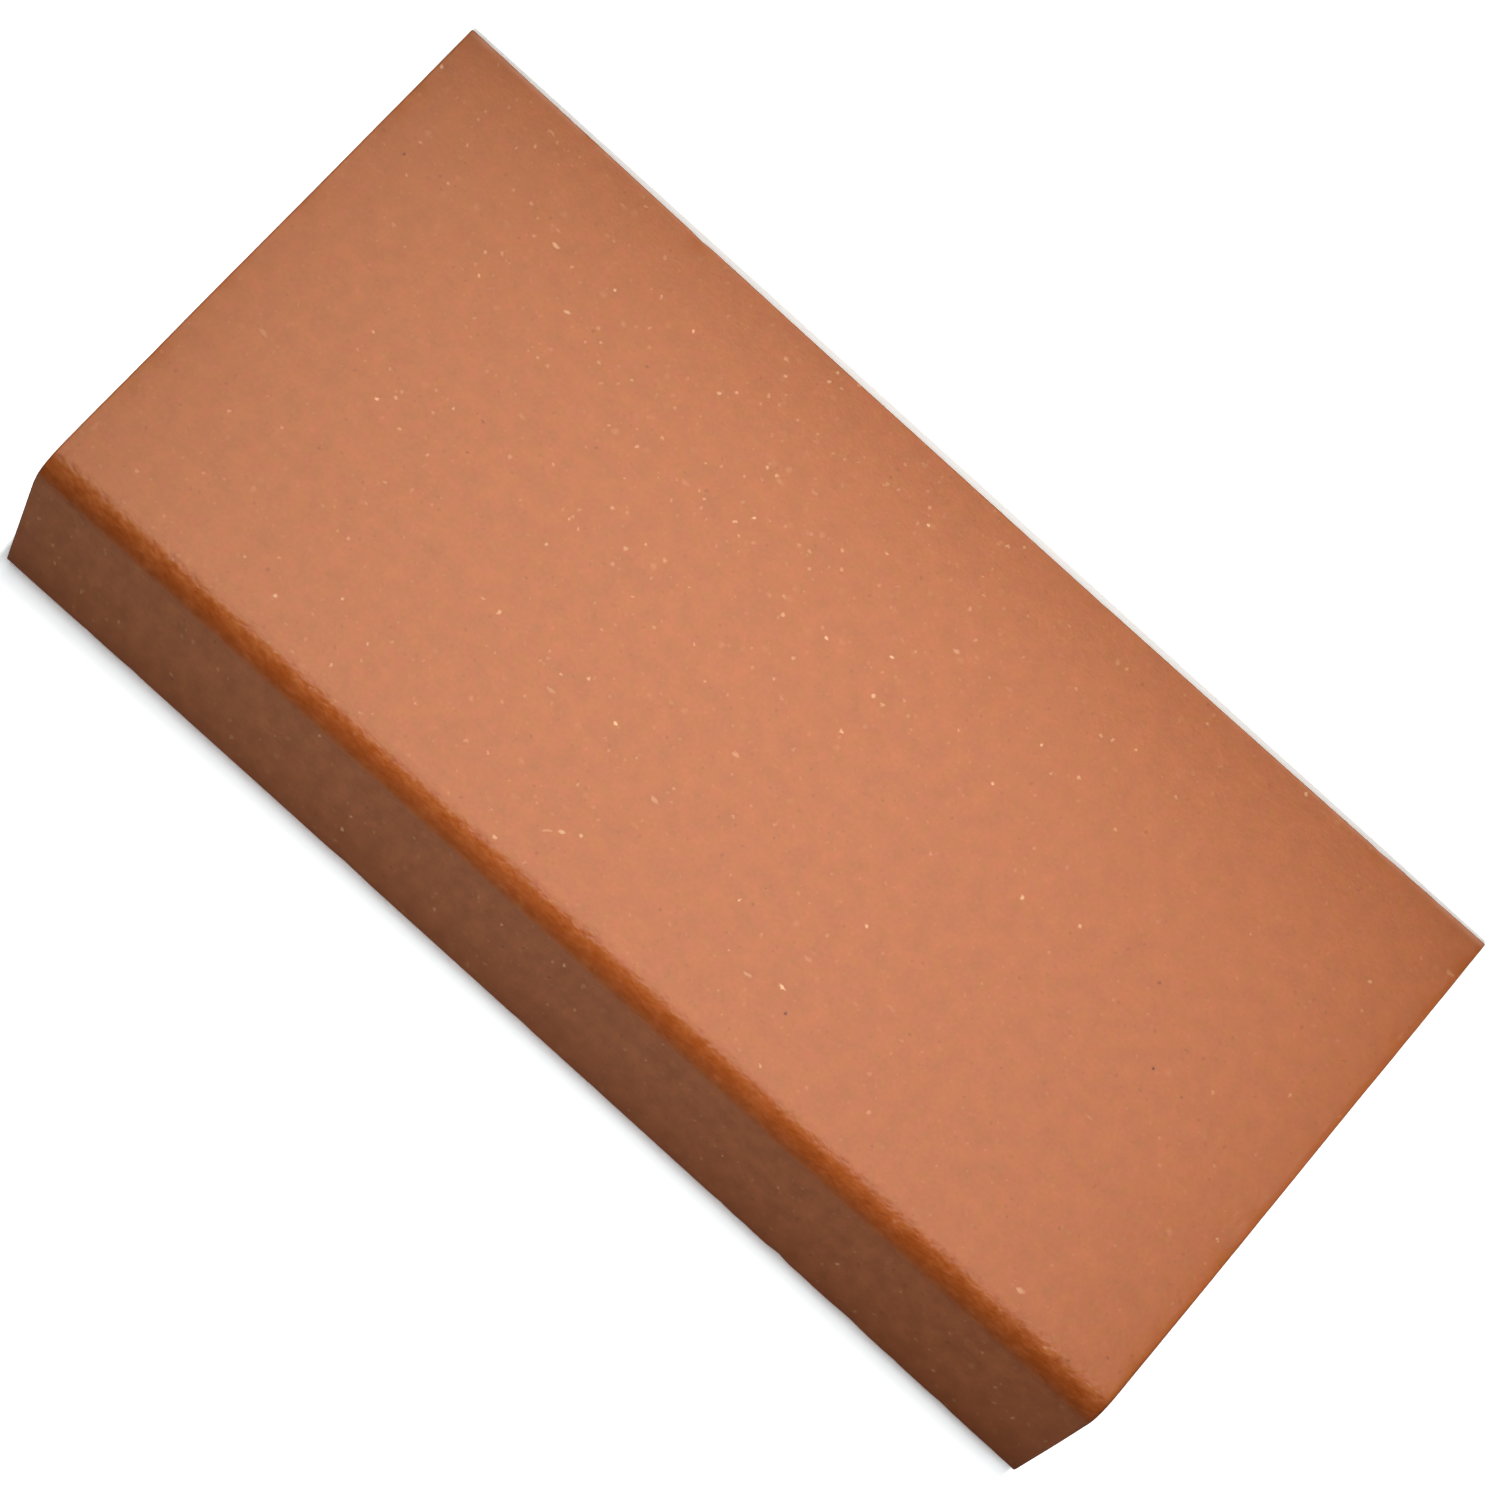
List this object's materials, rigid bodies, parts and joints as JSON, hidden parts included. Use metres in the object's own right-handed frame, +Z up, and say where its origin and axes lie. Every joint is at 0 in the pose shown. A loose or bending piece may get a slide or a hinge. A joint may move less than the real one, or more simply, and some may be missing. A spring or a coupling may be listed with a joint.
{
  "type": "stair tread tile",
  "caption": "Fired clay stair tread tile, a flat plate whose rounded front edge turns down into a short leg, with dovetail keys behind.",
  "frame": {"origin": "on the floor, in the middle of the tile's footprint as it lies unheld", "axes": "+X along the nosing, +Y from the leg to the back edge, +Z up; the tile lies on the inner side of the leg's foot and on its back edge, so the tread slopes down to the back by 21.2 degrees"},
  "size_m": [0.245, 0.1258, 0.0512],
  "materials": {
    "fired_clay": "satin"
  },
  "bodies": {
    "root": {"tread_tile": "fired_clay"}
  },
  "joints": []
}
